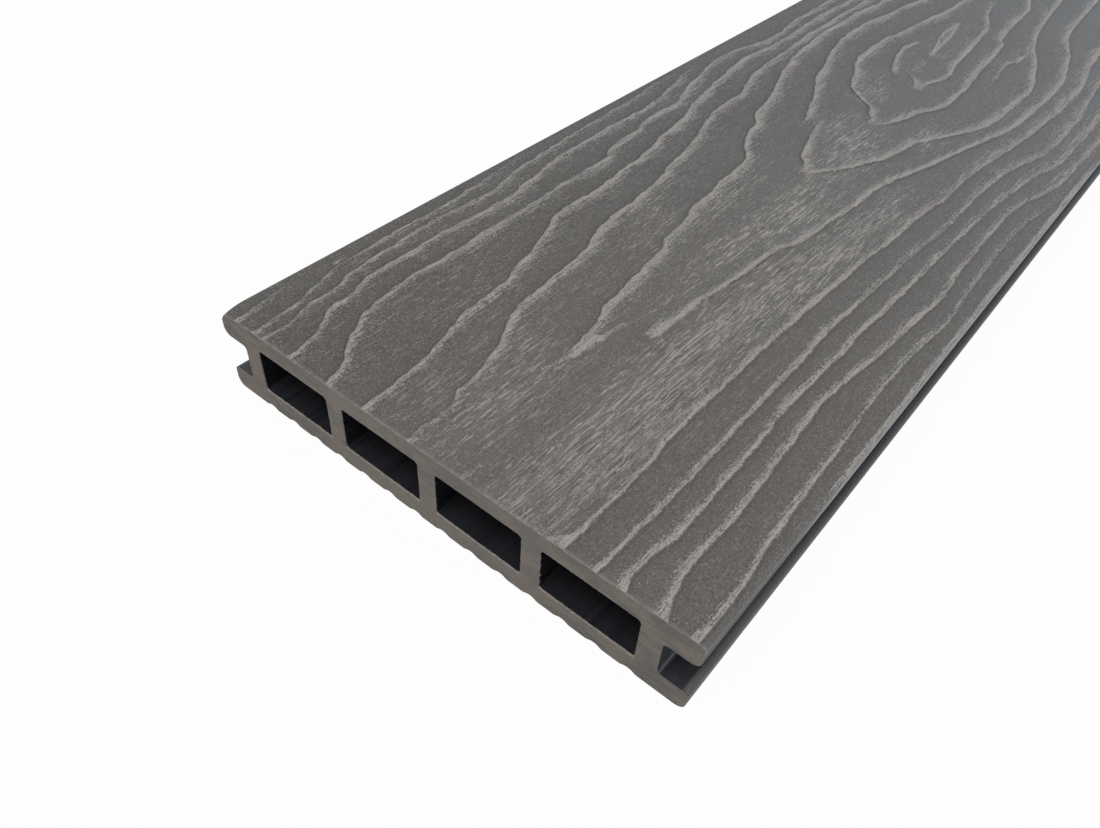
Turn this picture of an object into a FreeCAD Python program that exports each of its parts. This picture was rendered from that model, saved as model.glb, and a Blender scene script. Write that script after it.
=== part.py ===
import FreeCAD, Part
import math
import os

# Hollow decking board, extruded in one piece from wood-plastic composite.
# The board lies flat. X runs across its width, Y along its length and Z up through its thickness.
# The origin is in the middle of the underside, and every size is in millimetres.

# The board as it is sold
board_length = 2200.0
board_width = 150.0
board_thickness = 25.0

# Square chambers that run the whole length, with solid walls round them
chamber_count = 4
top_skin = 5.2
bottom_skin = 5.9
web_between_chambers = 5.3
web_beside_groove = 5.6
chamber_ceiling_radius = 1.4
chamber_floor_radius = 1.0

# Grooves along both edges, which the hidden deck clips hook into
groove_depth = 8.65
groove_height = 10.9
groove_root_radius = 1.2

# Lips above and below each groove; the lower one stops a little short of the upper one
lower_lip_thickness = 6.7
lower_lip_setback = 0.7
upper_lip_top_radius = 1.5
upper_lip_under_radius = 2.4
lower_lip_top_radius = 1.6
lower_lip_bottom_radius = 2.6

# Shallow round-shouldered flutes along the underside, which let it drain and dry
flute_count = 14
flute_width = 5.0
flute_depth = 0.75
flute_shoulder_radius = 1.8
land_beside_flutes = 12.05

# A rounding never takes more than this share of the wall or opening that it is on
largest_rounding_share = 0.45


def rounding(wanted, room):
    """The wanted radius, or the largest that the wall or opening has room for."""
    return min(wanted, room * largest_rounding_share)


def point(x, z):
    return FreeCAD.Vector(x, 0.0, z)


def line(start, end):
    return Part.LineSegment(start, end).toShape()


def arc(start, middle, end):
    return Part.Arc(start, middle, end).toShape()


def corner_arc_points(before, corner, after, radius):
    """Where a tangent arc leaves one side, passes the corner and meets the next side."""
    to_before = (before - corner).normalize()
    to_after = (after - corner).normalize()
    half_angle = to_before.getAngle(to_after) / 2.0
    start = corner + to_before * (radius / math.tan(half_angle))
    end = corner + to_after * (radius / math.tan(half_angle))
    inwards = (to_before + to_after).normalize()
    middle = corner + inwards * (radius / math.sin(half_angle) - radius)
    return start, middle, end


def rounded_wire(corners, first_side=None):
    """A closed outline of corners (x, z, radius), with a tangent arc at each.

    first_side may draw the side from the first corner to the second in its own way.
    """
    places = [point(x, z) for x, z, radius in corners]
    arcs = []
    for index, (x, z, radius) in enumerate(corners):
        before = places[index - 1]
        after = places[(index + 1) % len(places)]
        arcs.append(corner_arc_points(before, places[index], after, radius))
    edges = []
    for index, (start, middle, end) in enumerate(arcs):
        edges.append(arc(start, middle, end))
        next_start = arcs[(index + 1) % len(arcs)][0]
        if index == 0 and first_side is not None:
            edges.extend(first_side(end, next_start))
        else:
            edges.append(line(end, next_start))
    return Part.Wire(edges)


def flute_edges(centre):
    """One flute, from left to right: a shoulder, the hollow and the other shoulder."""
    half_width = flute_width / 2.0
    # The hollow and a shoulder touch on the line between their centres, at this slope
    centre_gap = (half_width ** 2 + flute_depth ** 2) / (2.0 * flute_depth)
    slope = math.asin(half_width / centre_gap)
    shoulder_radius = rounding(flute_shoulder_radius, centre_gap)

    def on_shoulder(side, turned):
        inwards = shoulder_radius * math.sin(turned)
        upwards = shoulder_radius * (1.0 - math.cos(turned))
        return point(centre + side * (half_width - inwards), upwards)

    return [
        arc(on_shoulder(-1, 0.0), on_shoulder(-1, slope / 2.0), on_shoulder(-1, slope)),
        arc(on_shoulder(-1, slope), point(centre, flute_depth), on_shoulder(1, slope)),
        arc(on_shoulder(1, slope), on_shoulder(1, slope / 2.0), on_shoulder(1, 0.0)),
    ]


def fluted_underside(start, end):
    """The underside between its rounded edges: flat lands with a flute between each two."""
    lower_half_width = board_width / 2.0 - lower_lip_setback
    first_centre = -lower_half_width + land_beside_flutes + flute_width / 2.0
    pitch = -2.0 * first_centre / (flute_count - 1)
    edges = []
    land_start = start
    for index in range(flute_count):
        centre = first_centre + index * pitch
        edges.append(line(land_start, point(centre - flute_width / 2.0, 0.0)))
        edges.extend(flute_edges(centre))
        land_start = point(centre + flute_width / 2.0, 0.0)
    edges.append(line(land_start, end))
    return edges


def outside_wire():
    """The outside of the section, anticlockwise from its bottom left corner."""
    upper = board_width / 2.0
    lower = upper - lower_lip_setback
    root = upper - groove_depth
    groove_floor = lower_lip_thickness
    groove_ceiling = lower_lip_thickness + groove_height
    upper_lip_thickness = board_thickness - groove_ceiling
    top_radius = rounding(upper_lip_top_radius, upper_lip_thickness)
    under_radius = rounding(upper_lip_under_radius, upper_lip_thickness)
    lip_top_radius = rounding(lower_lip_top_radius, lower_lip_thickness)
    bottom_radius = rounding(lower_lip_bottom_radius, lower_lip_thickness)
    root_radius = rounding(groove_root_radius, groove_height)
    right_half = [
        (lower, 0.0, bottom_radius),
        (lower, groove_floor, lip_top_radius),
        (root, groove_floor, root_radius),
        (root, groove_ceiling, root_radius),
        (upper, groove_ceiling, under_radius),
        (upper, board_thickness, top_radius),
    ]
    left_half = [(-x, z, radius) for x, z, radius in reversed(right_half)]
    corners = left_half[-1:] + right_half + left_half[:-1]
    return rounded_wire(corners, first_side=fluted_underside)


def chamber_wires():
    """The chambers share the width between the two grooves evenly."""
    room = board_width - 2.0 * (groove_depth + web_beside_groove)
    webs = (chamber_count - 1) * web_between_chambers
    chamber_width = (room - webs) / chamber_count
    pitch = chamber_width + web_between_chambers
    floor = bottom_skin
    ceiling = board_thickness - top_skin
    smaller_side = min(chamber_width, ceiling - floor)
    floor_radius = rounding(chamber_floor_radius, smaller_side)
    ceiling_radius = rounding(chamber_ceiling_radius, smaller_side)
    wires = []
    for index in range(chamber_count):
        centre = (index - (chamber_count - 1) / 2.0) * pitch
        left = centre - chamber_width / 2.0
        right = centre + chamber_width / 2.0
        wires.append(rounded_wire([
            (left, floor, floor_radius),
            (right, floor, floor_radius),
            (right, ceiling, ceiling_radius),
            (left, ceiling, ceiling_radius),
        ]))
    return wires


def decking_board():
    """The section pushed along the whole length and sawn square at both ends."""
    wires = [outside_wire()] + chamber_wires()
    section = Part.makeFace(wires, "Part::FaceMakerBullseye")
    section.translate(FreeCAD.Vector(0.0, -board_length / 2.0, 0.0))
    return section.extrude(FreeCAD.Vector(0.0, board_length, 0.0))


def main():
    os.makedirs("parts", exist_ok=True)
    board = decking_board()
    board.exportStep("parts/decking_board.step")
    print("section area", round(board.Volume / board_length, 1), "mm2")


main()
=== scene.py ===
import bpy
import math
import numpy as np
from mathutils import Matrix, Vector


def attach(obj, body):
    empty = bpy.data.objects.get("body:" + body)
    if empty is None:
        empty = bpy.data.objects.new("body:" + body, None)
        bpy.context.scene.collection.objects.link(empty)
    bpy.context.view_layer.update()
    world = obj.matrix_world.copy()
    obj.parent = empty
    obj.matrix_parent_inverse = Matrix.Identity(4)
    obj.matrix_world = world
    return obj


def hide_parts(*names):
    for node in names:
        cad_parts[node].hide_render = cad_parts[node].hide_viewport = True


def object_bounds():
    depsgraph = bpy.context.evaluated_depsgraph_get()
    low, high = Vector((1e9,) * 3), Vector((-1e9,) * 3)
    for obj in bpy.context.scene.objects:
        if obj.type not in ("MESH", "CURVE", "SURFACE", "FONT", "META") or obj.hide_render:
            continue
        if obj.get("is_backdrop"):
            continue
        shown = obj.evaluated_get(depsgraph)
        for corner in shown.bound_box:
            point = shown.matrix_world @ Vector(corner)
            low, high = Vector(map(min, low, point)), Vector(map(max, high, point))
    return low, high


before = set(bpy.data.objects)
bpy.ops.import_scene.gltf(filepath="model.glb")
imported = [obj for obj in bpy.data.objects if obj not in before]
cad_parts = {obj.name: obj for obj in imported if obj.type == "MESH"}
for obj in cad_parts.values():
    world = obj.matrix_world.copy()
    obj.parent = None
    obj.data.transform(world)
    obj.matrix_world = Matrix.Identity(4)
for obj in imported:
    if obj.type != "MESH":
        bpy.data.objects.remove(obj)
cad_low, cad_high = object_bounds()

# Decking board, outline of the section.
# The real board is wood flour and plastic, pushed hot through a die, so the same section runs from end
# to end: clip grooves along both sides, rounded noses over them and shallow flutes underneath.
MM = 0.001
half_width = cad_high.x / MM
near_end = cad_low.y / MM
far_end = cad_high.y / MM
thickness = cad_high.z / MM
board_length = far_end - near_end

groove_root = 66.35
groove_floor = 6.7
groove_ceiling = 17.6
groove_root_radius = 1.2
lower_half_width = 74.3
lower_lip_top_radius = 1.6
lower_lip_bottom_radius = 2.6
upper_lip_under_radius = 2.4
nose_radius = 1.5
side_seam_height = 20.6
sheet_edge_height = 22.4
flute_count = 14
first_flute = -59.75
flute_half_width = 2.5
flute_depth = 0.75
flute_shoulder_radius = 1.8
arc_steps = 5
hollow_steps = 6
shoulder_steps = 3


def leave_edit():
    bpy.ops.object.mode_set(mode="OBJECT")


def pick(thing, wanted, kind="VERT"):
    """Selects only the corners, edges or faces for which wanted(place) is true, and goes into edit mode."""
    bpy.context.view_layer.objects.active = thing
    bpy.ops.object.mode_set(mode="EDIT")
    bpy.ops.mesh.select_mode(type=kind)
    bpy.ops.mesh.select_all(action="DESELECT")
    leave_edit()
    mesh = thing.data
    if kind == "VERT":
        for corner in mesh.vertices:
            corner.select = wanted(corner.co / MM)
    elif kind == "EDGE":
        for edge in mesh.edges:
            first, second = (mesh.vertices[i].co / MM for i in edge.vertices)
            edge.select = wanted(first) and wanted(second)
    else:
        for face in mesh.polygons:
            face.select = wanted(face.center / MM)
    bpy.ops.object.mode_set(mode="EDIT")


def new_plate(name, centre_x, centre_z, width, height):
    """A flat plate standing across the board at its near end."""
    bpy.ops.mesh.primitive_plane_add(size=1.0, location=(centre_x * MM, near_end * MM, centre_z * MM),
                                     rotation=(math.pi / 2.0, 0.0, 0.0))
    plate = bpy.context.object
    plate.name = name
    plate.scale = (width * MM, height * MM, 1.0)
    bpy.ops.object.transform_apply(location=True, rotation=True, scale=True)
    return plate


def cut_across(plate, x=None, z=None):
    """Cuts the plate along an upright or a level line, and keeps both sides."""
    pick(plate, lambda place: True)
    if x is not None:
        bpy.ops.mesh.bisect(plane_co=(x * MM, 0.0, 0.0), plane_no=(1.0, 0.0, 0.0))
    else:
        bpy.ops.mesh.bisect(plane_co=(0.0, 0.0, z * MM), plane_no=(0.0, 0.0, 1.0))
    leave_edit()


def round_corners(plate, wanted, reach, steps=arc_steps):
    """Rounds the corners at the wanted places; the arc leaves each side at reach from the corner."""
    pick(plate, wanted)
    bpy.ops.mesh.bevel(affect="VERTICES", offset_type="OFFSET", offset=reach * MM, segments=steps)
    leave_edit()


def near(value, target, slack=0.02):
    return abs(value - target) < slack


board = new_plate("decking_board_grained", 0.0, thickness / 2.0, 2.0 * half_width, thickness)
for x in (groove_root, -groove_root, lower_half_width, -lower_half_width):
    cut_across(board, x=x)
for z in (groove_floor, groove_ceiling):
    cut_across(board, z=z)
pick(board, lambda place: (abs(place.x) > groove_root and groove_floor < place.z < groove_ceiling)
     or (abs(place.x) > lower_half_width and place.z < groove_floor), "FACE")
bpy.ops.mesh.delete(type="FACE")
bpy.ops.mesh.select_all(action="SELECT")
bpy.ops.mesh.dissolve_limited(angle_limit=0.01)
bpy.ops.mesh.delete(type="ONLY_FACE")
leave_edit()

# Flutes: each is a notch pulled up in the bottom edge, whose point and shoulders are then rounded
centre_gap = (flute_half_width ** 2 + flute_depth ** 2) / (2.0 * flute_depth)
flute_slope = math.asin(flute_half_width / centre_gap)
hollow_radius = centre_gap - flute_shoulder_radius
shoulder_reach = flute_shoulder_radius * math.tan(flute_slope / 2.0)
hollow_reach = hollow_radius * math.tan(flute_slope)
notch_half_width = flute_half_width - shoulder_reach
notch_height = flute_depth + hollow_radius * (1.0 / math.cos(flute_slope) - 1.0)
flute_pitch = -2.0 * first_flute / (flute_count - 1)
pick(board, lambda place: near(place.z, 0.0), "EDGE")
bpy.ops.mesh.subdivide(number_cuts=3 * flute_count)
leave_edit()
bottom = [corner for corner in board.data.vertices
          if near(corner.co.z / MM, 0.0) and abs(corner.co.x / MM) < lower_half_width - 0.01]
bottom.sort(key=lambda corner: corner.co.x)
for index, corner in enumerate(bottom):
    centre = first_flute + (index // 3) * flute_pitch
    side = index % 3 - 1
    corner.co.x = (centre + side * notch_half_width) * MM
    corner.co.z = 0.0 if side else notch_height * MM
round_corners(board, lambda place: near(place.z, notch_height), hollow_reach * 0.995, hollow_steps)
round_corners(board, lambda place: near(place.z, 0.0) and abs(place.x) < lower_half_width - 1.0,
              shoulder_reach * 0.98, shoulder_steps)
for across, height, radius in ((groove_root, groove_floor, groove_root_radius),
                               (groove_root, groove_ceiling, groove_root_radius),
                               (lower_half_width, groove_floor, lower_lip_top_radius),
                               (lower_half_width, 0.0, lower_lip_bottom_radius),
                               (half_width, groove_ceiling, upper_lip_under_radius)):
    round_corners(board, lambda place: near(abs(place.x), across) and near(place.z, height), radius)

# The top edge comes off, and the sides stop at a seam where the grained face joins them
pick(board, lambda place: near(place.z, thickness), "EDGE")
bpy.ops.mesh.delete(type="EDGE")
leave_edit()
for corner in board.data.vertices:
    if near(corner.co.z / MM, thickness):
        corner.co.z = side_seam_height * MM
pick(board, lambda place: True)
bpy.ops.mesh.extrude_region_move(TRANSFORM_OT_translate={"value": (0.0, board_length * MM, 0.0)})
leave_edit()

# Four chambers.
# The die's cores leave them in the board, so they are as long as it is; the sides are smooth from the
# die, the roof corners a little rounder than the floor's, and the saw leaves a fine burr on the floor.
chamber_count = 4
chamber_width = 26.4
chamber_pitch = 31.7
chamber_floor = 5.9
chamber_roof = 19.8
chamber_floor_radius = 1.0
chamber_roof_radius = 1.4
chamber_height = chamber_roof - chamber_floor
burr_reach = 0.28
burr_cuts_level = 54
burr_cuts_upright = 28
burr = np.random.default_rng(11)
chambers = []
for index in range(chamber_count):
    middle = (index - (chamber_count - 1) / 2.0) * chamber_pitch
    chamber = new_plate("chamber", middle, chamber_floor + chamber_height / 2.0,
                        chamber_width, chamber_height)
    round_corners(chamber, lambda place: near(place.z, chamber_floor), chamber_floor_radius)
    round_corners(chamber, lambda place: near(place.z, chamber_roof), chamber_roof_radius)
    pick(chamber, lambda place: True)
    bpy.ops.mesh.delete(type="ONLY_FACE")
    leave_edit()
    pick(chamber, lambda place: near(place.z, chamber_floor) or near(place.z, chamber_roof), "EDGE")
    bpy.ops.mesh.subdivide(number_cuts=burr_cuts_level)
    leave_edit()
    pick(chamber, lambda place: near(abs(place.x - middle), chamber_width / 2.0), "EDGE")
    bpy.ops.mesh.subdivide(number_cuts=burr_cuts_upright)
    bpy.ops.mesh.select_all(action="SELECT")
    for length in (burr_reach, board_length - 2.0 * burr_reach, burr_reach):
        bpy.ops.mesh.extrude_region_move(TRANSFORM_OT_translate={"value": (0.0, length * MM, 0.0)})
    leave_edit()
    for corner in chamber.data.vertices:
        # The burr leans into the opening, most of all along the floor and the left wall
        place = corner.co / MM
        at_cut = place.y < near_end + 0.01 or place.y > far_end - 0.01
        crumb = 0.06 + 0.16 * burr.random() + (0.4 * burr.random() if burr.random() < 0.3 else 0.0)
        if not at_cut:
            corner.co.y += math.copysign(burr.uniform(-0.12, 0.1), -place.y) * MM
            continue
        if near(place.z, chamber_floor):
            corner.co.z += crumb * MM
        elif near(place.x, middle - chamber_width / 2.0):
            corner.co.x += 1.2 * crumb * MM
        elif near(place.z, chamber_roof):
            corner.co.z -= 0.4 * crumb * MM
        elif near(place.x, middle + chamber_width / 2.0):
            corner.co.x -= 0.3 * crumb * MM
    chambers.append(chamber)

# Grained face.
# A heated roller presses a flat-sawn wood figure into the top. Each growth line is a low crest with a
# steep wall on its outer side and a long slope towards the heart of the figure, three turns to a board.
roller_turn = board_length / 3.0
crest_drop = 0.38
wall_run = 0.45
crest_run = 0.7
closest_lines = 0.3
outermost_course = 73.1
smooth_up_to = math.radians(58.0)
figure_length = 733.3
round_tip_line = 19
first_right_edge_line = 20

# Lines from the left edge to the right: soft side, course as (distance along, place across), strength
# as (distance along, share), and how far the light runs down the soft side. The course goes on where
# the line isn't pressed at all. What starts at 0 leads back to its first value after one turn.
growth_lines = [
    # Left of the figure: the slope lies to the right
    (1, [(0, -69), (8, -70), (20, -72), (40, -73), (690, -72.6)],
     [(0, 0.7), (12, 0.6), (22, 0), (680, 0), (705, 0.8)], 1.5),
    (1, [(0, -62), (12, -63), (25, -66), (33, -68.3), (45, -69), (80, -69.5), (100, -71), (115, -72.6),
     (620, -72.2), (690, -65.5)],
     [(0, 0.75), (20, 0.75), (33, 0.5), (42, 0.85), (90, 0.85), (114, 0.3), (122, 0), (630, 0), (670, 0.8)],
     1.5),
    (1, [(0, -58.5), (9, -58), (15, -60), (27, -61.5), (35, -63.5), (50, -64.5), (65, -65.5), (80, -64.8),
     (95, -64.5), (105, -66.5), (120, -68.5), (135, -69), (150, -70), (170, -70.5), (190, -71.8),
     (220, -72.2), (540, -71.8), (620, -68), (680, -62)],
     [(0, 0.7), (30, 0.8), (60, 0.9), (120, 0.8), (190, 0.6), (210, 0), (560, 0), (600, 0.8)],
     [(0, 1.3), (60, 2.0), (733.3, 1.6)]),
    (1, [(0, -48), (10, -49.5), (15, -52.5), (20, -55.5), (27, -56), (35, -58), (45, -59), (65, -59),
     (75, -58.5), (95, -58), (105, -60), (113, -61), (120, -62.5), (130, -63), (150, -63.5), (170, -63),
     (185, -64), (200, -67), (210, -69.5), (240, -71.6), (480, -71.4), (560, -67.5), (620, -60),
     (680, -51)],
     [(0, 0.7), (10, 0.8), (50, 1), (130, 1), (200, 0.8), (218, 0), (480, 0), (530, 0.8)],
     [(0, 1.6), (50, 2.4), (130, 2.6), (733.3, 2.0)]),
    (1, [(0, -34), (8, -36), (11, -39), (15, -42), (20, -44.5), (25, -47.5), (33, -49), (42, -50),
     (60, -50), (80, -50.5), (100, -50.5), (120, -51.5), (135, -51), (140, -53), (147, -55), (157, -55),
     (165, -56.5), (172, -57.5), (185, -57), (195, -59.5), (205, -62.5), (215, -64.5), (225, -66.5),
     (238, -67.3), (248, -66), (262, -62.8), (272, -62.5), (285, -64), (300, -65), (350, -65), (400, -67),
     (450, -69), (500, -67), (600, -52), (680, -39)],
     [(0, 0.8), (12, 1), (60, 0.9), (100, 0.8), (190, 1), (240, 0.7), (260, 0.9)],
     [(0, 2.0), (30, 2.6), (70, 3.4), (200, 3.2), (733.3, 2.4)]),
    (1, [(0, -21), (15, -22), (25, -23.5), (33, -25.5), (42, -28), (50, -29), (60, -29.5), (67, -31.5),
     (75, -33.5), (83, -36), (90, -38.5), (97, -41), (105, -41.5), (115, -41), (125, -41.5), (135, -42.5),
     (150, -44), (160, -46), (170, -47.5), (180, -49), (190, -52), (200, -54), (210, -56), (220, -57),
     (230, -59), (240, -60), (250, -59), (260, -58), (275, -58), (285, -58.5), (300, -59.5), (330, -58.5),
     (345, -57), (400, -59.5), (500, -56), (600, -41), (680, -27)],
     [(0, 0.75), (20, 0.85), (50, 0.9), (90, 1)],
     [(0, 2.2), (30, 2.8), (80, 3.6), (200, 3.4), (733.3, 2.4)]),
    (1, [(0, -6), (15, -6.5), (20, -8.5), (30, -10), (38, -12.5), (45, -15.5), (50, -18.5), (55, -20),
     (65, -20.5), (75, -21.5), (88, -23), (97, -26), (108, -28), (120, -28.5), (132, -29.5), (140, -31),
     (145, -33), (155, -34), (165, -36), (175, -39), (185, -42), (200, -44), (210, -44), (220, -46.5),
     (230, -49.5), (240, -50.5), (255, -51), (275, -52.5), (285, -53), (320, -53), (400, -54), (500, -44),
     (600, -25), (680, -11)],
     [(0, 0.65), (15, 0.75), (45, 1)], [(0, 2.0), (25, 2.4), (55, 3.6), (200, 3.6), (733.3, 2.4)]),
    (1, [(0, -1), (30, 1.6), (44, 2), (50, 2), (60, 0.5), (65, -0.5), (70, -2.5), (80, -3.5), (92, -5.5),
     (103, -6.5), (110, -9), (122, -10.5), (130, -13), (140, -13), (150, -15), (165, -15.5), (172, -18.5),
     (178, -22.5), (185, -25.5), (193, -27), (200, -31), (210, -33), (220, -35.5), (230, -38.5), (240, -42),
     (250, -44.5), (260, -46.5), (275, -48), (285, -49), (320, -49), (340, -47), (400, -46), (460, -38),
     (520, -26), (570, -12), (610, 2), (630, 6), (680, 3)],
     [(42, 0), (48, 0.8), (75, 1), (600, 1), (626, 0.7), (636, 0)],
     [(42, 3.6), (90, 4.4), (250, 3.8), (733.3, 4.0)]),
    (1, [(0, 2.5), (60, 4.5), (110, 0), (174, -8), (195, -13.5), (207, -15), (215, -18), (225, -21),
     (233, -24), (240, -27.5), (247, -30.5), (258, -32.5), (268, -36), (278, -38.5), (285, -39.5),
     (300, -41), (315, -40.5), (330, -38), (345, -37), (355, -35), (400, -33), (440, -24), (480, -14),
     (510, -5), (520, -2.6), (580, 0), (630, 6.6), (680, 5.5)],
     [(205, 0), (210, 0.9), (250, 1), (500, 1), (519, 0.7), (528, 0)], 4.0),
    (1, [(0, 5.5), (60, 5.6), (120, 2), (160, 1), (174, 1.2), (180, 0), (183, -3), (190, -5.5), (195, -7),
     (200, -8.5), (210, -10.5), (230, -13.5), (245, -20), (262, -27), (290, -32), (330, -30), (370, -26),
     (435, -12), (480, -8), (520, -2.2), (580, 1), (630, 7), (680, 7.5)],
     [(172, 0), (176, 0.9), (190, 1), (208, 0.8), (217, 0)], 4.6),
    (1, [(0, 8), (60, 6.6), (120, 4), (174, 1.5), (200, 0), (223, 2.4), (228, 2), (231, -0.5), (236, -2.5),
     (238, -5), (241, -9), (244, -13), (249, -16.5), (256, -19), (262, -21), (268, -24.5), (277, -26.5),
     (290, -27), (303, -27), (312, -25), (325, -24), (340, -22.5), (352, -20.5), (370, -20), (400, -15),
     (425, -9), (435, -7), (520, -1.8), (580, 2), (630, 7.4), (680, 9.5)],
     [(221, 0), (226, 0.9), (240, 1), (420, 0.9), (434, 0.6), (441, 0)], 4.0),
    (1, [(0, 10.5), (60, 7.6), (120, 6), (174, 1.8), (200, 2.5), (223, 2.8), (245, -3), (262, -6),
     (271, -9), (276, -11.6), (283, -13.8), (292, -16), (300, -17.1), (309, -16.6), (330, -18),
     (350, -16.5), (370, -15), (400, -11), (435, -6.6), (520, -1.4), (580, 3), (630, 7.8), (680, 11.5)],
     [(269, 0), (274, 0.9), (285, 1), (306, 1), (309, 0.8), (311, 0)], 2.6),
    (1, [(0, 13), (60, 8.6), (120, 8), (174, 2.1), (200, 5), (223, 3.2), (245, 2), (262, 4), (268, 1),
     (273, -1), (276, -5), (285, -8.5), (300, -11), (318, -13.5), (330, -15), (345, -14), (370, -12),
     (400, -9), (435, -6.2), (520, -1), (580, 4), (630, 8.2), (680, 13.5)],
     [(263, 0), (267, 0.9), (274, 0.7), (281, 0)], 3.4),
    (1, [(0, 15.5), (60, 9.6), (120, 10), (174, 2.4), (200, 7), (223, 3.6), (245, 4), (262, 4.3), (275, 3),
     (290, -2), (300, -5), (308, -7), (318, -9), (328, -11), (340, -11), (343, -10.4), (370, -9.5),
     (400, -7.5), (435, -5.8), (520, -0.6), (580, 5), (630, 8.6), (680, 15.5)],
     [(298, 0), (301, 0.9), (335, 1), (343, 0.8), (347, 0)], 1.9),
    # Right of the figure: the slope lies to the left
    (-1, [(0, 18), (60, 10.6), (120, 12), (174, 2.7), (200, 9), (223, 4), (245, 6), (262, 4.6), (275, 5),
     (290, 1), (300, -4.6), (310, -5.5), (322, -6.5), (335, -8), (343, -9.6), (370, -8.5), (400, -7),
     (435, -5.4), (520, -0.2), (580, 6), (630, 9), (680, 17.5)],
     [(298, 0), (301, 0.9), (335, 1), (343, 0.8), (347, 0)], 1.9),
    (-1, [(0, 20.5), (60, 11.6), (120, 14), (174, 3), (200, 11), (223, 4.4), (245, 8), (262, 4.9),
     (272, 5.5), (280, 8), (285, 8.8), (295, 7), (305, 6), (318, 5), (330, 4), (340, 3), (350, 1.5),
     (357, -1), (363, -3.5), (372, -6), (385, -7.6), (410, -6), (435, -5), (520, 0.2), (580, 7), (630, 9.4),
     (680, 19.5)],
     [(263, 0), (268, 0.9), (290, 1), (370, 0.9), (392, 0)], 2.8),
    (-1, [(0, 23), (60, 12.6), (120, 16), (174, 3.3), (200, 13), (223, 4.8), (228, 8), (235, 11), (245, 13),
     (251, 16), (258, 18.5), (275, 18.3), (290, 17.3), (305, 15.6), (320, 15), (328, 14.2), (334, 13.4),
     (336.6, 12.9), (338.4, 11.1), (345, 10.3), (355, 9.4), (370, 8.5), (385, 8), (395, 5), (415, 0),
     (430, -4), (436, -4.6), (520, 0.6), (580, 8), (630, 9.8), (680, 21.5)],
     [(221, 0), (226, 0.9), (240, 1), (420, 0.9), (434, 0.6), (441, 0)], 3.2),
    (-1, [(0, 26), (60, 13), (120, 17), (174, 3.6), (200, 16), (223, 14), (260, 22), (285, 24), (300, 23.4),
     (306, 22.5), (313, 21.8), (317, 22.5), (321, 24.3), (326, 24.4), (331, 24.9), (339, 23), (346, 21.2),
     (360, 17), (378, 13.5), (420, 7), (460, 4.5), (520, 1), (580, 9), (630, 10.2), (680, 24)],
     [(283, 0), (290, 0.5), (308, 0.6), (314, 0.8), (318, 1), (325, 1), (328, 0.7), (345, 0.55), (354, 0)],
     [(283, 1.4), (314, 1.6), (318, 2.6), (325, 2.4), (328, 1.4), (400, 1.4)]),
    (-1, [(0, 29), (60, 13.4), (120, 17.6), (160, 8), (174, 3.9), (178, 6), (183, 9.5), (190, 13),
     (197, 16), (203, 19), (212, 20.5), (220, 21.5), (228, 25), (236, 29), (245, 33), (255, 36),
     (265, 37.5), (280, 37.5), (295, 38), (305, 36.5), (315, 33.5), (325, 31), (332, 28.5), (340, 25),
     (352, 22), (362, 20), (378, 18), (420, 14), (460, 9), (500, 3), (520, 1.4), (580, 10), (630, 10.6),
     (680, 26.5)],
     [(172, 0), (176, 0.9), (185, 1), (500, 0.9), (519, 0.7), (528, 0)],
     [(172, 4.4), (240, 3.8), (300, 2.8), (345, 2.8), (500, 4.0)]),
    (-1, [(0, 33), (40, 18), (66, 14.6), (80, 14.8), (95, 15.2), (105, 16.7), (115, 17.6), (128, 18.6),
     (133, 21), (142, 22.5), (155, 23.5), (165, 24.5), (180, 25.5), (190, 27), (200, 29.5), (210, 32.5),
     (222, 35), (235, 38), (245, 41), (255, 43), (270, 44.5), (285, 45), (300, 45.5), (313, 45), (325, 43),
     (335, 41), (345, 38.5), (355, 35), (365, 32), (380, 30), (400, 29), (420, 28), (470, 27), (530, 24),
     (580, 17), (615, 11.4), (630, 11), (680, 30)],
     [(67, 0), (69.5, 1), (150, 1), (600, 0.9), (626, 0.7), (636, 0)],
     [(0, 3.6), (75, 3.2), (110, 2.2), (125, 2.0), (140, 3.0), (190, 2.4), (400, 3.0)]),
    (-1, [(0, 40), (20, 40), (33, 39.5), (40, 38.5), (60, 38.5), (80, 38.5), (100, 39), (120, 40),
     (140, 40.5), (155, 42), (168, 42.5), (178, 43), (190, 44.5), (205, 45), (218, 45.5), (230, 47),
     (245, 49), (260, 50.5), (275, 51.5), (290, 52.5), (310, 52.5), (325, 51), (337, 49), (350, 48),
     (420, 46), (500, 44), (600, 40), (680, 39)],
     [(0, 0.95), (40, 1), (140, 0.9), (220, 0.75), (300, 0.9)],
     [(0, 1.5), (60, 1.9), (140, 2.6), (230, 4.5), (733.3, 1.5)]),
    (-1, [(0, 48.5), (20, 49), (40, 49), (60, 48.5), (80, 48.5), (100, 48), (120, 48.5), (140, 49.5),
     (155, 50), (170, 51.5), (190, 51.8), (205, 52), (218, 53), (228, 54.5), (238, 57), (248, 59.5),
     (260, 60), (285, 60), (300, 58.5), (320, 57), (400, 55), (500, 52), (600, 48)],
     [(0, 0.9), (100, 1), (150, 0.7)], [(0, 1.6), (10, 1.6), (180, 2.2), (230, 4.0), (733.3, 1.6)]),
    (-1, [(0, 56), (5, 54.5), (10, 54.5), (20, 56), (35, 55.5), (55, 55), (70, 54), (85, 54.5), (100, 55),
     (107, 54.5), (120, 55.5), (140, 56), (155, 56.5), (165, 56.5), (180, 57.5), (195, 58), (205, 59),
     (218, 60.5), (228, 61.5), (237, 64), (247, 66), (258, 65.5), (270, 66), (320, 65), (400, 63),
     (500, 60), (600, 56), (680, 55)],
     [(0, 1), (100, 1), (190, 0.7)],
     [(0, 2.6), (8, 1.9), (60, 2.1), (180, 2.3), (230, 3.8), (733.3, 2.6)]),
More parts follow.
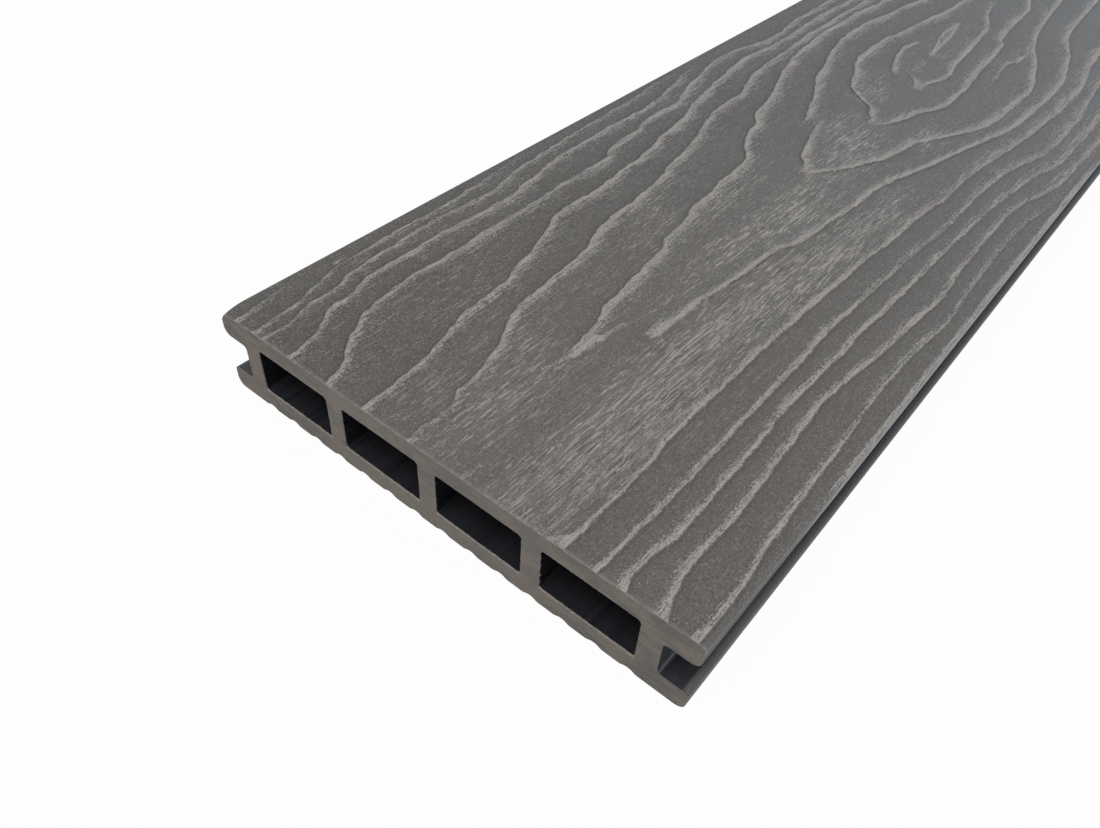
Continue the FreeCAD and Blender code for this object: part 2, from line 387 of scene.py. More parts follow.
    (-1, [(0, 66), (8, 63), (17, 62), (30, 62.5), (40, 62), (55, 61), (67, 60.5), (75, 59.5), (82, 60),
     (95, 61.5), (105, 62.5), (118, 63.5), (130, 64.5), (140, 65), (155, 64), (165, 63.5), (180, 63.5),
     (195, 63.5), (205, 64.5), (215, 67), (225, 69.5), (237, 70.5), (300, 71.4), (400, 70.2), (500, 68),
     (600, 65)],
     [(0, 1), (90, 1), (150, 0.8), (230, 0.7)],
     [(0, 2.9), (10, 2.3), (60, 2.1), (180, 2.2), (230, 3.2), (733.3, 2.9)]),
    (-1, [(0, 73.1), (15, 73), (30, 71.5), (50, 70.5), (65, 70), (80, 69), (95, 68.5), (110, 69),
     (130, 70.5), (150, 69.5), (165, 69), (190, 69), (205, 71), (220, 72.7), (400, 72.9), (600, 72.2)],
     [(0, 1), (60, 0.8), (200, 0.6), (225, 0.2), (400, 0.3), (600, 0.8)],
     [(0, 2.3), (15, 1.7), (60, 1.6), (733.3, 2.3)]),
]


# Short strokes beside the lines: start and end as (distance along, place across), reach and strength
short_strokes = [
    (45.4, 2.5, 54, 3.3, 0.75, 1.0), (49, 3.6, 59, 4.4, 1.3, 0.95), (57, 4.8, 68, 5.6, 0.8, 0.75),
    (66, 5.9, 76, 7.6, 0.6, 0.5), (76, 7.8, 82, 9.6, 0.6, 0.35), (8, -72.4, 12, -73.0, 0.5, 0.8),
    (1, -68.8, 6, -69.4, 0.4, 0.6), (13, -70.9, 17, -71.3, 0.5, 0.6), (34, -69.6, 39, -70.2, 0.5, 0.8),
    (69.8, 14.2, 76, 14.3, 1.3, 1.0), (76, 14.5, 92, 15.0, 1.0, 0.9), (0.0, 11.4, 6, 11.6, 0.7, 0.7),
    (10, 9.2, 18.5, 8.2, 0.5, 0.7), (78, -57.2, 97, -57.6, 0.8, 0.7), (281, -2.6, 292, -6, 2.2, 0.5),
    (226, -15, 234, -16.5, 0.6, 0.5), (0.0, -44, 5, -46.5, 0.6, 0.5), (0.0, 36, 3, 38, 0.8, 0.6),
]


def closed(points):
    """The points; those that start at 0 lead back to their first value after one turn."""
    return points + [(figure_length, points[0][1])] if points[0][0] == 0 else points


def read_at(points, along):
    """Straight lines between the points, read at the places along."""
    return np.interp(along, [p[0] for p in points], [p[1] for p in points])


def smooth_course(points, along):
    """A curve through the points that never swings past them, read at the places along."""
    ys = np.array([p[0] for p in points], float)
    xs = np.array([p[1] for p in points], float)
    step = np.diff(ys)
    rise = np.diff(xs) / step
    slope = np.zeros(len(ys))
    same_way = rise[1:] * rise[:-1] > 0.0
    slope[1:-1] = np.where(same_way, 2.0 * rise[1:] * rise[:-1] / (rise[1:] + rise[:-1] + 1e-12), 0.0)
    slope[0] = rise[0]
    slope[-1] = rise[-1]
    place = np.clip(np.searchsorted(ys, along, side="right") - 1, 0, len(ys) - 2)
    gap = step[place]
    share = (along - ys[place]) / gap
    rest = 1.0 - share
    return (xs[place] * (1.0 + 2.0 * share) * rest ** 2 + slope[place] * gap * share * rest ** 2
            + xs[place + 1] * (3.0 - 2.0 * share) * share ** 2 - slope[place + 1] * gap * rest * share ** 2)


def ease(low, high, value):
    """0 below low, 1 above high, and a smooth change between."""
    share = np.clip((value - low) / (high - low), 0.0, 1.0)
    return share * share * (3.0 - 2.0 * share)


# Rows across the board: close together in the first stretch, wider after it
rows = np.concatenate([np.array([0.0, 0.35]), np.arange(1.0, 200.0, 1.0), np.arange(200.0, 432.0, 1.4),
                       np.linspace(433.0, board_length, 218)])
turn_place = rows % roller_turn
turn_place[-1] = roller_turn
close_rows = 1.0 - ease(420.0, 440.0, rows)

# Each line's course, with the small wander that a growth line has
wander = np.random.default_rng(7)
courses = []
strengths = []
for side, course, shown, slope_run in growth_lines:
    x = smooth_course(closed(course), turn_place)
    liveliness = 1.0 if side > 0 else 0.55
    for length, size in ((31.0, 0.16), (13.0, 0.14), (7.3, 0.12), (4.4, 0.10), (2.9, 0.07)):
        turns = max(1, round(roller_turn / length))
        phase = wander.uniform(0.0, 2.0 * math.pi)
        keep = liveliness if length > 20.0 else liveliness * close_rows
        patchy = 1.0 + 0.6 * np.sin(2.0 * math.pi * 9.0 * turn_place / roller_turn + 3.0 * phase)
        x = x + size * keep * patchy * np.sin(2.0 * math.pi * turns * turn_place / roller_turn + phase)
    courses.append(np.clip(x, -outermost_course, outermost_course))
    strengths.append(read_at(closed(shown), turn_place))
courses = np.array(courses)
strengths = np.array(strengths)
for again in range(6):
    # Lines never cross; where two come too close they share the gap
    for index in range(len(courses) - 1):
        middle = (courses[index] + courses[index + 1]) / 2.0
        tight = courses[index + 1] - courses[index] < closest_lines
        courses[index] = np.where(tight, middle - closest_lines / 2.0, courses[index])
        courses[index + 1] = np.where(tight, middle + closest_lines / 2.0, courses[index + 1])
sides = np.array([line[0] for line in growth_lines])
slope_runs = []
for line in growth_lines:
    runs = line[3] if isinstance(line[3], list) else [(0, line[3])]
    slope_runs.append(read_at(runs, turn_place))

# Columns along the board, five to a line: before the wall, its foot, the crest, and two down the slope
nose_start = half_width - nose_radius
foot = 0.5
before_foot = 1.1
after_crest = 0.8
slope_end = 0.5
uneven = 1.0 + 0.22 * np.sin(turn_place / 9.7 + np.arange(len(courses))[:, None] * 1.7)
uneven = uneven + 0.16 * np.sin(turn_place / 4.3 + np.arange(len(courses))[:, None]) * close_rows
slope_runs = np.array(slope_runs) * uneven * (1.0 + 0.12 * ease(120.0, 220.0, turn_place))


def every_row(value):
    return np.full(len(rows), value)


left_edge = every_row(-nose_start)
right_edge = every_row(nose_start)
stops = [left_edge] + list(courses) + [right_edge]
columns = [left_edge]
for gap_index in range(len(courses) + 1):
    start = stops[gap_index]
    end = stops[gap_index + 1]
    if gap_index == 0:
        from_start = []
    elif sides[gap_index - 1] > 0:
        from_start = [after_crest, slope_runs[gap_index - 1] + slope_end]
    else:
        from_start = [foot, before_foot]
    if gap_index == len(courses):
        to_end = []
    elif sides[gap_index] > 0:
        to_end = [before_foot, foot]
    else:
        to_end = [slope_runs[gap_index] + slope_end, after_crest]
    room = 0.25 + (from_start[-1] if from_start else 0.0) + (to_end[0] if to_end else 0.0)
    squeeze = np.minimum(1.0, (end - start) / room)
    for reach in from_start:
        columns.append(start + reach * squeeze)
    low = columns[-1]
    high = end - (to_end[0] if to_end else 0.0) * squeeze
    for step in range(3 if gap_index == first_right_edge_line else 0):
        columns.append(low + (high - low) * (step + 1) / 4.0)
    for reach in to_end:
        columns.append(end - reach * squeeze)
    columns.append(end)
nose_turns = np.linspace(0.0, math.pi / 2.0, arc_steps + 1)[1:]
nose_x = [nose_start + nose_radius * math.sin(turn) for turn in nose_turns] + [half_width]
nose_drop = [nose_radius * (1.0 - math.cos(turn)) for turn in nose_turns] + [thickness - sheet_edge_height]
sheet_x = np.array([every_row(-x) for x in reversed(nose_x)] + columns + [every_row(x) for x in nose_x]).T
sheet_drop = np.array([every_row(drop) for drop in nose_drop[::-1] + [0.0] * len(columns) + nose_drop]).T
sheet_y = np.repeat(rows[:, None], sheet_x.shape[1], axis=1)

# Height and lightness: every line lifts the face to a crest and leaves a light band along it
turn_y = np.repeat(turn_place[:, None], sheet_x.shape[1], axis=1)
lift = np.zeros_like(sheet_x)
light = np.zeros_like(sheet_x)
crease = np.zeros_like(sheet_x)
dimness = np.zeros_like(sheet_x)
for index in range(len(courses)):
    away = sides[index] * (sheet_x - courses[index][:, None])
    share = strengths[index][:, None]
    run = slope_runs[index][:, None]
    wall = ease(-wall_run, 0.0, away)
    slope = 1.0 - np.clip((away - crest_run) / (1.3 * run), 0.0, 1.0)
    lift = np.maximum(lift, share * wall * slope)
    band = np.where(away < 0.0, 0.0, 1.0) * (1.0 - np.clip((away - slope_end) / run, 0.0, 1.0))
    hazy = ease(25.0, 80.0, turn_y) if index < first_right_edge_line else ease(170.0, 240.0, turn_y)
    trail = np.where(away < 0.0, 0.0, 0.24 * hazy * np.exp(-np.abs(away) / 5.0))
    light = np.maximum(light, share * np.maximum(band, trail))
    # crease and dimness are painted shade: a thin dark line at the foot of each wall and a dim stretch up
    # to 3 mm outside it; the crease also sinks the face a little
    crease = np.maximum(crease, share * (1.0 - np.clip(np.abs(away + foot) / 0.45, 0.0, 1.0)))
    outside = np.where(away < -foot, 1.0 - np.clip((-away - foot) / 3.0, 0.0, 1.0), 0.0)
    dimness = np.maximum(dimness, 0.5 * share * outside)
for start_y, start_x, end_y, end_x, reach, amount in short_strokes:
    # A short pressed stroke: everything within reach of the line between its two ends
    length_y = end_y - start_y
    length_x = end_x - start_x
    whole = length_y ** 2 + length_x ** 2
    part = np.clip(((turn_y - start_y) * length_y + (sheet_x - start_x) * length_x) / whole, 0.0, 1.0)
    off = np.hypot(turn_y - start_y - part * length_y, sheet_x - start_x - part * length_x)
    stroke = 1.0 - ease(reach - 0.4, reach + 0.2, off)
    light = np.maximum(light, amount * stroke)
    lift = np.maximum(lift, 0.8 * amount * stroke)
# The right nose carries a painted highlight along its rounded edge on part of each turn
nose_highlight = ease(34.0, 70.0, turn_y) * (1.0 - ease(238.0, 262.0, turn_y)) + 0.35 * ease(262.0, 300.0, turn_y)
nose_highlight = 0.85 * nose_highlight * ease(73.7, 74.3, sheet_x)
light = np.maximum(light, nose_highlight * (1.0 - 0.2 * ease(0.9, 1.6, sheet_drop)))
# Where no light band lies, the band carries the painted shade instead, as negative values
light = np.where(light > 0.05, light, -0.8 * np.maximum(crease, dimness))
flat_share = 1.0 - ease(72.6, 74.6, np.abs(sheet_x))
relief = crest_drop * (1.0 - lift + 0.25 * crease * (1.0 - lift)) * flat_share
sheet_z = thickness - sheet_drop - relief

# The corner beside the left nose is knocked round where the board was dragged on it
worn = np.clip(1.0 - sheet_y / 7.0, 0.0, 1.0) ** 2 * ease(-72.0, -74.6, sheet_x) * ease(22.4, 23.6, sheet_z)
sheet_x = sheet_x + 0.55 * worn
sheet_z = sheet_z - 0.75 * worn

# Where the brush has rubbed a whole patch lighter, and where it has left short light fibres, each as
# place and reach along the board, place and reach across it, and amount
rubbed_places = [
    (38, 42, 31, 6.5, 0.3), (70, 40, 34, 4, 0.26), (48, 22, -42, 3.5, 0.34), (160, 34, 30, 5, 0.28),
    (70, 24, -32, 2.6, 0.22), (262, 14, -13, 6, 0.3),
]
fibre_places = [
    (60, 115, 26, 13, 1), (125, 50, 8, 8, 0.8), (45, 45, -44, 5, 0.4), (160, 45, 12, 11, 1),
    (203, 26, 6, 10, 0.9), (232, 16, 23, 6, 0.9), (140, 60, 33, 6, 1), (60, 34, -10, 7, 0.8),
    (25, 34, 0, 14, 0.72), (250, 16, -8, 8, 0.8), (140, 45, -23, 6, 0.65), (130, 50, -8, 6, 0.7),
    (30, 30, -18, 5, 0.6), (34, 40, 34, 6, 1), (42, 36, -30, 6, 0.45), (215, 20, -3, 7, 0.8),
]


def far_from(along, along_reach, across, across_reach):
    """How far each corner is from a place that comes once a turn: 1 at its reach, squared."""
    past = (turn_y - along + roller_turn / 2.0) % roller_turn - roller_turn / 2.0
    return (past / along_reach) ** 2 + ((sheet_x - across) / across_reach) ** 2


for *place, amount in rubbed_places:
    far = far_from(*place)
    patch = amount * np.exp(-far * far)
    light = np.where(light > 0.0, np.maximum(light, patch), light + patch)
fibres = 0.02 + 0.06 * ease(-52.0, -36.0, sheet_x) * (1.0 - ease(36.0, 46.0, sheet_x))
for index in range(len(courses)):
    away = sides[index] * (sheet_x - courses[index][:, None])
    fading = np.where(away > 0.0, np.exp(-np.abs(away) / 6.0), 0.0)
    most = 0.52 if index < round_tip_line else 0.2 + 0.3 * ease(170.0, 240.0, turn_y)
    fibres = np.maximum(fibres, most * strengths[index][:, None] * fading)
for *place, amount in fibre_places:
    fibres = np.maximum(fibres, amount * np.exp(-far_from(*place) * 1.2))

bpy.ops.mesh.primitive_grid_add(x_subdivisions=sheet_x.shape[1] - 1, y_subdivisions=len(rows) - 1, size=1.0,
                                location=(0.0, 0.0, 0.0))
grained_face = bpy.context.object
grained_face.name = "grained_face"
places = np.stack([sheet_x, sheet_y + near_end, sheet_z], axis=-1).reshape(-1, 3) * MM
grained_face.data.vertices.foreach_set("co", places.astype(np.float32).ravel())
for name, values in (("light_band", light), ("fibre_share", fibres)):
    layer = grained_face.data.attributes.new(name, "FLOAT", "POINT")
    layer.data.foreach_set("value", values.astype(np.float32).ravel())
grained_face.data.update()

# Sides, chambers and grained face become one skin, and the sawn ends close it
bpy.ops.object.select_all(action="DESELECT")
for part in [board, grained_face] + chambers:
    part.select_set(True)
bpy.context.view_layer.objects.active = board
bpy.ops.object.join()
for side in (-1.0, 1.0):
    pick(board, lambda place: near(place.x, side * half_width, 0.001)
         and (near(place.z, side_seam_height, 0.01) or near(place.z, sheet_edge_height, 0.01)), "EDGE")
    bpy.ops.mesh.bridge_edge_loops()
    leave_edit()
for end in (near_end, far_end):
    pick(board, lambda place: near(place.y, end, 0.01), "EDGE")
    bpy.ops.mesh.fill(use_beauty=True)
    leave_edit()
pick(board, lambda place: True)
bpy.ops.mesh.remove_doubles(threshold=0.000001)
bpy.ops.mesh.select_all(action="SELECT")
bpy.ops.mesh.normals_make_consistent(inside=False)
leave_edit()
bpy.ops.object.select_all(action="DESELECT")
board.select_set(True)
bpy.ops.object.shade_smooth_by_angle(angle=smooth_up_to)

# Composite.
# Grey wood flour and plastic: dull brushed top with lighter crests, brownish sawn ends with saw streaks,
# and darker, slightly shiny sides as they come from the die; in the grooves and chambers that skin is
# painted darker and cooler still, as painted shade with a painted cool reflection.
groove_skin_edge = 72.8
lip_face_start = 72.2


def srgb(red, green, blue):
    """A colour seen on screen, as the shader's linear values."""
    return tuple(((c / 255.0 + 0.055) / 1.055) ** 2.4 for c in (red, green, blue)) + (1.0,)


class Look:
    """The look of a material or a sky, put together from one node after another."""

    def __init__(self, owner, place="Object"):
        self.owner = owner
        owner.use_nodes = True
        self.tree = owner.node_tree
        self.place = self.add("ShaderNodeTexCoord").outputs[place]

    def add(self, kind, **settings):
        node = self.tree.nodes.new(kind)
        for name, value in settings.items():
            setattr(node, name, value)
        return node

    def set(self, socket, value):
        if isinstance(value, bpy.types.NodeSocket):
            self.tree.links.new(value, socket)
        else:
            socket.default_value = value

    def math(self, operation, first, second=0.0, third=0.0):
        node = self.add("ShaderNodeMath", operation=operation)
        for socket, value in zip(node.inputs, (first, second, third)):
            self.set(socket, value)
        return node.outputs[0]

    def range(self, value, low, high, to_low=0.0, to_high=1.0, change="SMOOTHSTEP"):
        """Goes from to_low to to_high as the value goes from low to high."""
        node = self.add("ShaderNodeMapRange", interpolation_type=change)
        for socket, amount in zip(node.inputs, (value, low, high, to_low, to_high)):
            self.set(socket, amount)
        return node.outputs["Result"]

    def noise(self, per_mm, detail, roughness, shift=0.0):
        """Noise with per_mm cells to a millimetre along each axis."""
        mapping = self.add("ShaderNodeMapping")
        self.set(mapping.inputs["Vector"], self.place)
        mapping.inputs["Scale"].default_value = tuple(count / MM for count in per_mm)
        mapping.inputs["Location"].default_value = (shift, shift * 0.7, shift * 0.3)
        node = self.add("ShaderNodeTexNoise")
        self.set(node.inputs["Vector"], mapping.outputs["Vector"])
        node.inputs["Scale"].default_value = 1.0
        node.inputs["Detail"].default_value = detail
        node.inputs["Roughness"].default_value = roughness
        return node.outputs["Fac"]

    def mix(self, share, first, second):
        node = self.add("ShaderNodeMix", data_type="RGBA")
        self.set(node.inputs["Factor"], share)
        self.set(node.inputs["A"], first)
        self.set(node.inputs["B"], second)
        return node.outputs["Result"]

    def tint(self, colour, target, value, low, high, most):
        """The colour, mixed towards the target by up to most as the value goes from low to high."""
        return self.mix(self.range(value, low, high, 0.0, most), colour, srgb(*target))

    def ruffle(self, value, noise, amount):
        """The value, pushed up and down by the noise."""
        return self.math("MULTIPLY_ADD", self.math("SUBTRACT", noise, 0.5), amount, value)

    def attribute(self, name):
        return self.add("ShaderNodeAttribute", attribute_name=name).outputs["Fac"]

    def along(self, axis):
        """The place along one axis."""
        parts = self.add("ShaderNodeSeparateXYZ")
        self.set(parts.inputs["Vector"], self.place)
        return parts.outputs[axis]

    def from_end(self):
        """The distance from the nearer sawn end."""
        return self.math("SUBTRACT", far_end * MM, self.math("ABSOLUTE", self.along("Y")))

    def bump(self, height, distance_mm, under=None):
        node = self.add("ShaderNodeBump")
        node.inputs["Distance"].default_value = distance_mm * MM
        self.set(node.inputs["Height"], height)
        if under is not None:
            self.set(node.inputs["Normal"], under)
        return node.outputs["Normal"]

    def shade(self, **values):
        """Sets the shader's inputs, named in small letters."""
        shader = self.tree.nodes["Principled BSDF"]
        for socket in shader.inputs:
            name = socket.name.lower().replace(" ", "_")
            if name in values:
                self.set(socket, values[name])
        return self.owner


def brushed_top():
    """The grained top as the brush leaves it: speckled ground, light crests, fibres and scratches."""
    look = Look(bpy.data.materials.new("brushed_grained_composite"))
    band = look.attribute("light_band")
    fibre_share = look.attribute("fibre_share")
    long_fibre = look.noise((2.6, 0.12, 0.5), 2.0, 0.6)
    short_fibre = look.noise((2.2, 0.2, 0.5), 2.0, 0.6, 31.0)
    brush_stroke = look.noise((1.7, 0.09, 0.4), 2.0, 0.65, 53.0)
    grain = look.noise((2.9, 1.6, 1.0), 3.0, 0.7, 12.0)
    mottle = look.noise((0.8, 0.3, 0.3), 3.0, 0.6, 43.0)
    cloud = look.noise((0.07, 0.03, 0.02), 3.0, 0.5, 5.0)
    from_end = look.from_end()

    # Light crests: brightest along the wall, then thinning out in fibres down the soft side
    ragged = look.ruffle(look.ruffle(band, long_fibre, 2.0), grain, 2.5)
    ragged = look.math("ADD", ragged, look.range(from_end, 5.0 * MM, 0.0, 0.0, 0.3))
    edge = look.range(look.ruffle(band, grain, 1.2), 0.0, 0.25)
    crest = look.math("MULTIPLY", look.range(ragged, 0.18, 0.92), edge)

    # Short light fibres left by the brush, and longer strokes that grow stronger away from the end
    fine = look.math("SUBTRACT", short_fibre, look.math("MULTIPLY_ADD", fibre_share, -0.09, 0.64))
    fine = look.math("MULTIPLY", look.range(look.ruffle(fine, grain, 0.2), 0.0, 0.04), 0.8)
    coarse = look.math("SUBTRACT", brush_stroke, look.math("MULTIPLY_ADD", fibre_share, -0.08, 0.655))
    coarse = look.range(look.ruffle(coarse, grain, 0.26), 0.0, 0.03)
    coarse = look.math("MULTIPLY", coarse, look.range(from_end, 10.0 * MM, 120.0 * MM, 0.5, 0.75))
    dash = look.math("MAXIMUM", fine, coarse)
    dash = look.math("MULTIPLY", dash, look.range(fibre_share, 0.0, 0.7, 0.12, 1.0))

    # Ground: dark with pale speckle, paler away from the left edge and among the fibres
    dark = look.mix(cloud, srgb(67, 64, 61), srgb(72, 68, 65))
    pale = look.mix(cloud, srgb(103, 99, 95), srgb(108, 103, 99))
    ground = look.mix(look.range(grain, 0.37, 0.64), dark, pale)
    ground = look.tint(ground, (116, 112, 107), mottle, 0.35, 0.75, 0.2)
    ground = look.tint(ground, (116, 112, 108), look.along("X"), -50.0 * MM, 5.0 * MM, 0.33)
    ground = look.tint(ground, (128, 124, 119), fibre_share, 0.2, 1.0, 0.46)
    ground = look.tint(ground, (88, 84, 80), grain, 0.46, 0.32, 0.5)
    speck = look.noise((2.3, 1.9, 1.0), 0.0, 0.5, 63.0)
    ground = look.tint(ground, (150, 147, 141), speck, 0.68, 0.78, 0.5)

    # The crests' own colour, a little pink in places and crumbly all over
    pinkness = look.range(look.noise((0.16, 0.06, 0.05), 2.0, 0.5, 77.0), 0.62, 0.72, 0.0, 0.8)
    crest_and_highlight_colour = look.mix(pinkness, srgb(169, 163, 157), srgb(168, 152, 148))
    crest_and_highlight_colour = look.tint(crest_and_highlight_colour, (112, 108, 103), grain, 0.62, 0.36, 0.45)
    crumbs = look.noise((3.4, 2.6, 1.5), 1.0, 0.6, 87.0)
    crest_and_highlight_colour = look.tint(crest_and_highlight_colour, (124, 119, 114), crumbs, 0.42, 0.62, 0.35)
    # On the right nose this crest colour serves as the painted highlight
    colour = look.mix(crest, ground, crest_and_highlight_colour)

    # Dark scratches among the fibres, then the fibres, then the shade at the foot of each wall
    scratch = look.ruffle(look.noise((2.3, 0.075, 0.4), 1.0, 0.5, 67.0), grain, 0.12)
    scratch_share = look.range(fibre_share, 0.2, 0.8, 0.0, 0.75)
    scratch = look.math("MULTIPLY", look.range(scratch, 0.42, 0.38), scratch_share)
    colour = look.mix(scratch, colour, srgb(78, 75, 72))
    colour = look.mix(dash, colour, srgb(167, 162, 156))
    colour = look.tint(colour, (60, 58, 56), band, 0.0, -0.8, 0.42)

    # The last millimetre is pale in patches: fibres the saw feathered, and a painted highlight on the edge
    rim = look.range(look.ruffle(from_end, grain, 2.8 * MM), 1.1 * MM, 0.1 * MM, 0.0, 0.7)
    patchy = look.range(look.noise((0.5, 0.5, 0.5), 2.0, 0.6, 97.0), 0.4, 0.62, 0.45, 1.0)
    colour = look.mix(look.math("MULTIPLY", rim, patchy), colour, srgb(142, 138, 132))
    rough = look.math("ADD", grain, look.math("MULTIPLY", long_fibre, 0.8))
    rough = look.math("ADD", rough, look.math("MULTIPLY", short_fibre, 0.5))
    normal = look.bump(crest, 0.08, look.bump(rough, 0.12))
    # The sheen's blue tint is a painted cool reflection, as of a cool sky along the far part of the board
    return look.shade(base_color=colour, roughness=0.6, specular_ior_level=0.15, normal=normal,
                      sheen_weight=0.2, sheen_roughness=0.4, sheen_tint=(0.5, 0.75, 1.0, 1.0))


def sawn_end(name, dust):
    """Sawn composite, with streaks across the board from the saw and some pale dust left on it."""
    look = Look(bpy.data.materials.new(name))
    streak = look.noise((0.22, 1.0, 3.0), 3.0, 0.62, 3.0)
    mottle = look.noise((0.1, 0.22, 0.22), 3.0, 0.6, 9.0)
    grain = look.noise((3.0, 3.0, 3.0), 3.0, 0.65, 21.0)
    across = look.along("X")
    off_centre = look.math("ABSOLUTE", across)
    colour = look.mix(look.range(mottle, 0.42, 0.58), srgb(110, 108, 104), srgb(129, 121, 114))
    colour = look.tint(colour, (146, 141, 134), streak, 0.46, 0.64, 0.55)
    colour = look.tint(colour, (143, 136, 128), off_centre, 65.0 * MM, 25.0 * MM, 0.25)
    colour = look.tint(colour, (90, 86, 81), grain, 0.44, 0.3, 0.5)
    colour = look.tint(colour, (146, 141, 133), grain, 0.58, 0.74, 0.35)
    colour = look.mix(dust, colour, srgb(172, 169, 163))

    # A pale crumbly fringe along each chamber's floor; from_chamber is counted in chamber pitches
    pitches = look.math("FRACT", look.math("MULTIPLY_ADD", across, 1.0 / (chamber_pitch * MM), 8.0))
    from_chamber = look.math("ABSOLUTE", look.math("SUBTRACT", pitches, 0.5))
    inside = look.range(off_centre, 61.2 * MM, 60.6 * MM)
    inside = look.math("MULTIPLY", look.range(from_chamber, 0.43, 0.405), inside)
    from_floor = look.math("ABSOLUTE", look.math("SUBTRACT", look.along("Z"), chamber_floor * MM))
    fringe = look.math("MULTIPLY", inside, look.range(from_floor, 0.5 * MM, 0.15 * MM, 0.0, 0.75))
    crumbly = look.range(look.noise((1.3, 1.0, 1.0), 2.0, 0.7, 37.0), 0.38, 0.55)
    colour = look.mix(look.math("MULTIPLY", fringe, crumbly), colour, srgb(176, 173, 167))
    normal = look.bump(look.math("ADD", grain, streak), 0.08)
    return look.shade(base_color=colour, roughness=0.85, specular_ior_level=0.2, normal=normal)


def die_skin(name, dark, pale, worn, relief):
    """The skin that the die leaves; fine lines run along the board in it."""
    look = Look(bpy.data.materials.new(name))
    run_line = look.noise((1.6, 0.004, 1.6), 3.0, 0.6, 4.0)
    grain = look.noise((1.8, 0.7, 1.8), 3.0, 0.6, 14.0)
    colour = look.mix(look.range(run_line, 0.35, 0.7), srgb(*dark), srgb(*pale))
    colour = look.tint(colour, worn, grain, 0.6, 0.75, 0.3)
    roughness = look.range(grain, 0.3, 0.7, 0.36, 0.5)
    normal = look.bump(look.math("ADD", run_line, look.math("MULTIPLY", grain, 0.5)), relief)
    return look.shade(base_color=colour, roughness=roughness, specular_ior_level=0.35, normal=normal)


def lip_skin():
    """Skin on the lips' outer faces: away from the end the upper one turns pale, the lower one dark."""
    look = Look(bpy.data.materials.new("lip_edge_composite"))
    run_line = look.noise((1.6, 0.006, 1.6), 3.0, 0.6, 4.0)
    grain = look.noise((1.9, 0.9, 1.9), 3.0, 0.65, 14.0)
    from_end = look.ruffle(look.from_end(), grain, 30.0 * MM)
    upper = look.mix(look.range(from_end, 28.0 * MM, 58.0 * MM), srgb(58, 57, 57), srgb(146, 144, 142))
    lower = look.mix(look.range(from_end, 15.0 * MM, 80.0 * MM), srgb(76, 77, 77), srgb(53, 54, 56))
    colour = look.mix(look.range(look.along("Z"), 12.0 * MM, 13.0 * MM), lower, upper)
    colour = look.tint(colour, (70, 70, 70), run_line, 0.35, 0.65, 0.2)
    colour = look.tint(colour, (120, 119, 116), grain, 0.56, 0.74, 0.35)
    normal = look.bump(look.math("ADD", run_line, grain), 0.05)
    return look.shade(base_color=colour, roughness=0.55, specular_ior_level=0.2, normal=normal)


top_look, sawn_look, outer_look, chamber_look, groove_look, burr_look, lip_look = range(7)
# The chamber and groove skins are the die skin painted darker and cooler: painted shade in the hollows,
# with a painted cool reflection
for material in (brushed_top(), sawn_end("sawn_composite", 0.0),
                 die_skin("extruded_composite", (82, 83, 84), (95, 95, 95), (112, 111, 109), 0.06),
                 die_skin("chamber_composite", (38, 39, 44), (42, 43, 48), (49, 50, 55), 0.015),
                 die_skin("groove_composite", (34, 36, 41), (41, 43, 49), (56, 58, 63), 0.02),
                 sawn_end("saw_burr", 0.75), lip_skin()):
    board.data.materials.append(material)
for face in board.data.polygons:
    centre = face.center / MM
    off_centre = abs(centre.x)
    from_cut = min(centre.y - near_end, far_end - centre.y)
    if abs(face.normal.y) > 0.9 and from_cut < 0.05:
        face.material_index = sawn_look
    elif centre.z > sheet_edge_height:
        face.material_index = top_look
    elif off_centre < groove_root - 3.0 and chamber_floor - 0.1 < centre.z < chamber_roof + 0.1:
        face.material_index = burr_look if from_cut < burr_reach + 0.2 else chamber_look
    elif (groove_root - 0.3 < off_centre < groove_skin_edge
          and groove_floor - 0.1 < centre.z < groove_ceiling + 0.1):
        face.material_index = groove_look
    else:
        face.material_index = lip_look if off_centre > lip_face_start else outer_look

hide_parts("decking_board")
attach(board, "root")

# Floor and studio.
# A plain white floor that keeps the board's soft shadow, even light from above, and three softboxes: one
# in front, one on the right, and a cool one beyond the far end, like a window.
floor_white = 0.97
bpy.ops.mesh.primitive_plane_add(size=12.0, location=(0.0, 0.0, 0.0))
floor = bpy.context.object
floor.name = "floor"
paper = Look(bpy.data.materials.new("white_floor"))
paper.shade(base_color=(0.55, 0.55, 0.55, 1.0), roughness=0.9)
glow = paper.add("ShaderNodeEmission")
glow.inputs["Color"].default_value = (1.0, 1.0, 1.0, 1.0)


def seen_directly(look, lit, plain, share, output):
    """Shows the share of the plain white to the camera, and in gloss and glass; other rays meet lit."""
    ray = look.add("ShaderNodeLightPath").outputs
    direct = look.math("MAXIMUM", ray["Is Camera Ray"], ray["Is Glossy Ray"])
    direct = look.math("MAXIMUM", direct, ray["Is Transmission Ray"])
    blend = look.add("ShaderNodeMixShader")
    sources = (look.math("MULTIPLY", direct, share), lit.outputs[0], plain.outputs[0])
    for socket, source in zip(blend.inputs, sources):
        look.set(socket, source)
    look.set(look.tree.nodes[output].inputs["Surface"], blend.outputs["Shader"])


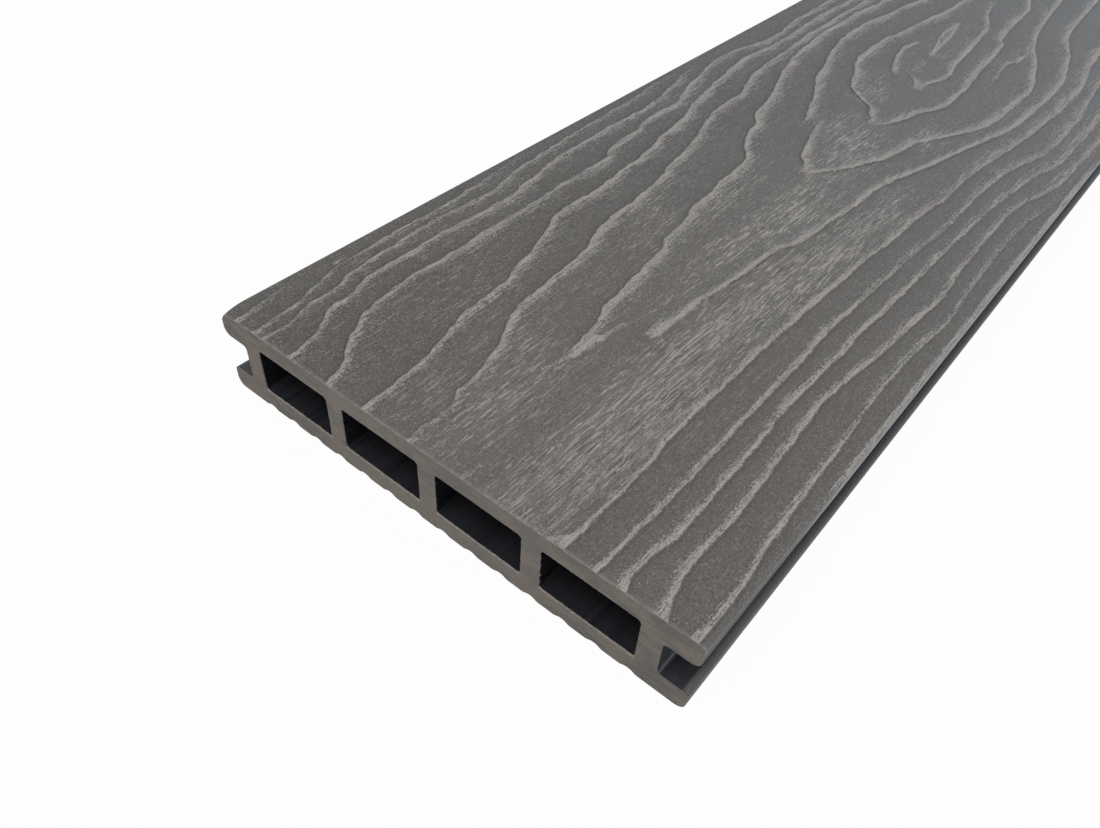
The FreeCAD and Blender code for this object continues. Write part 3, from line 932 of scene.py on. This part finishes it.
seen_directly(paper, paper.tree.nodes["Principled BSDF"], glow, floor_white, "Material Output")
floor.data.materials.append(paper.owner)
floor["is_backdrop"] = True

# The sky gives even light, dim at the horizon and full high up, and is plain white where it is seen
scene = bpy.context.scene
scene.world = bpy.data.worlds.new("studio")
sky = Look(scene.world, "Generated")
overhead = sky.tree.nodes["Background"]
overhead.inputs["Color"].default_value = (0.97, 0.985, 1.0, 1.0)
sky.set(overhead.inputs["Strength"], sky.range(sky.along("Z"), 0.0, 0.8, 0.15, 0.5, "LINEAR"))
white_sky = sky.add("ShaderNodeBackground")
white_sky.inputs["Color"].default_value = (1.0, 1.0, 1.0, 1.0)
seen_directly(sky, overhead, white_sky, 1.0, "World Output")


def soft_lamp(name, place, target, size, power, colour):
    """A square softbox at place, turned to face target."""
    bpy.ops.object.light_add(type="AREA", location=place)
    lamp = bpy.context.object
    lamp.name = name
    lamp.data.size = size
    lamp.data.energy = power
    lamp.data.color = colour
    towards = [t - p for t, p in zip(target, place)]
    tilt = math.atan2(math.hypot(towards[0], towards[1]), -towards[2])
    heading = math.atan2(towards[1], towards[0]) - math.pi / 2.0
    lamp.rotation_euler = (tilt, 0.0, heading)


soft_lamp("lamp_front", (-0.1, -2.0, 2.0), (0.0, -0.9, 0.0), 1.2, 25.5, (1.0, 0.975, 0.94))
soft_lamp("lamp_side", (1.6, -0.6, 0.6), (0.0, -0.8, 0.0), 0.9, 8.5, (0.97, 0.985, 1.0))
soft_lamp("window_far", (0.2, 1.2, 1.3), (0.0, -0.6, 0.0), 1.8, 7.0, (0.38, 0.7, 1.0))

# Camera, where the photograph was taken from: low over the near end, looking down along the board
camera_place = (0.102747, -1.190623, 0.172555)
camera_right = (0.76906, 0.63744, 0.04701)
camera_up = (-0.47488, 0.52061, 0.70954)
camera_back = (0.42782, -0.56801, 0.70309)
bpy.ops.object.camera_add(location=camera_place)
camera = bpy.context.object
camera_turn = Matrix((camera_right, camera_up, camera_back)).transposed().to_4x4()
camera.matrix_world = Matrix.Translation(camera_place) @ camera_turn
camera.data.sensor_width = 36.0
camera.data.lens = 29.12
camera.data.clip_start = 0.01
camera.data.clip_end = 20.0
scene.camera = camera
scene.view_settings.view_transform = "Standard"

low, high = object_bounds()
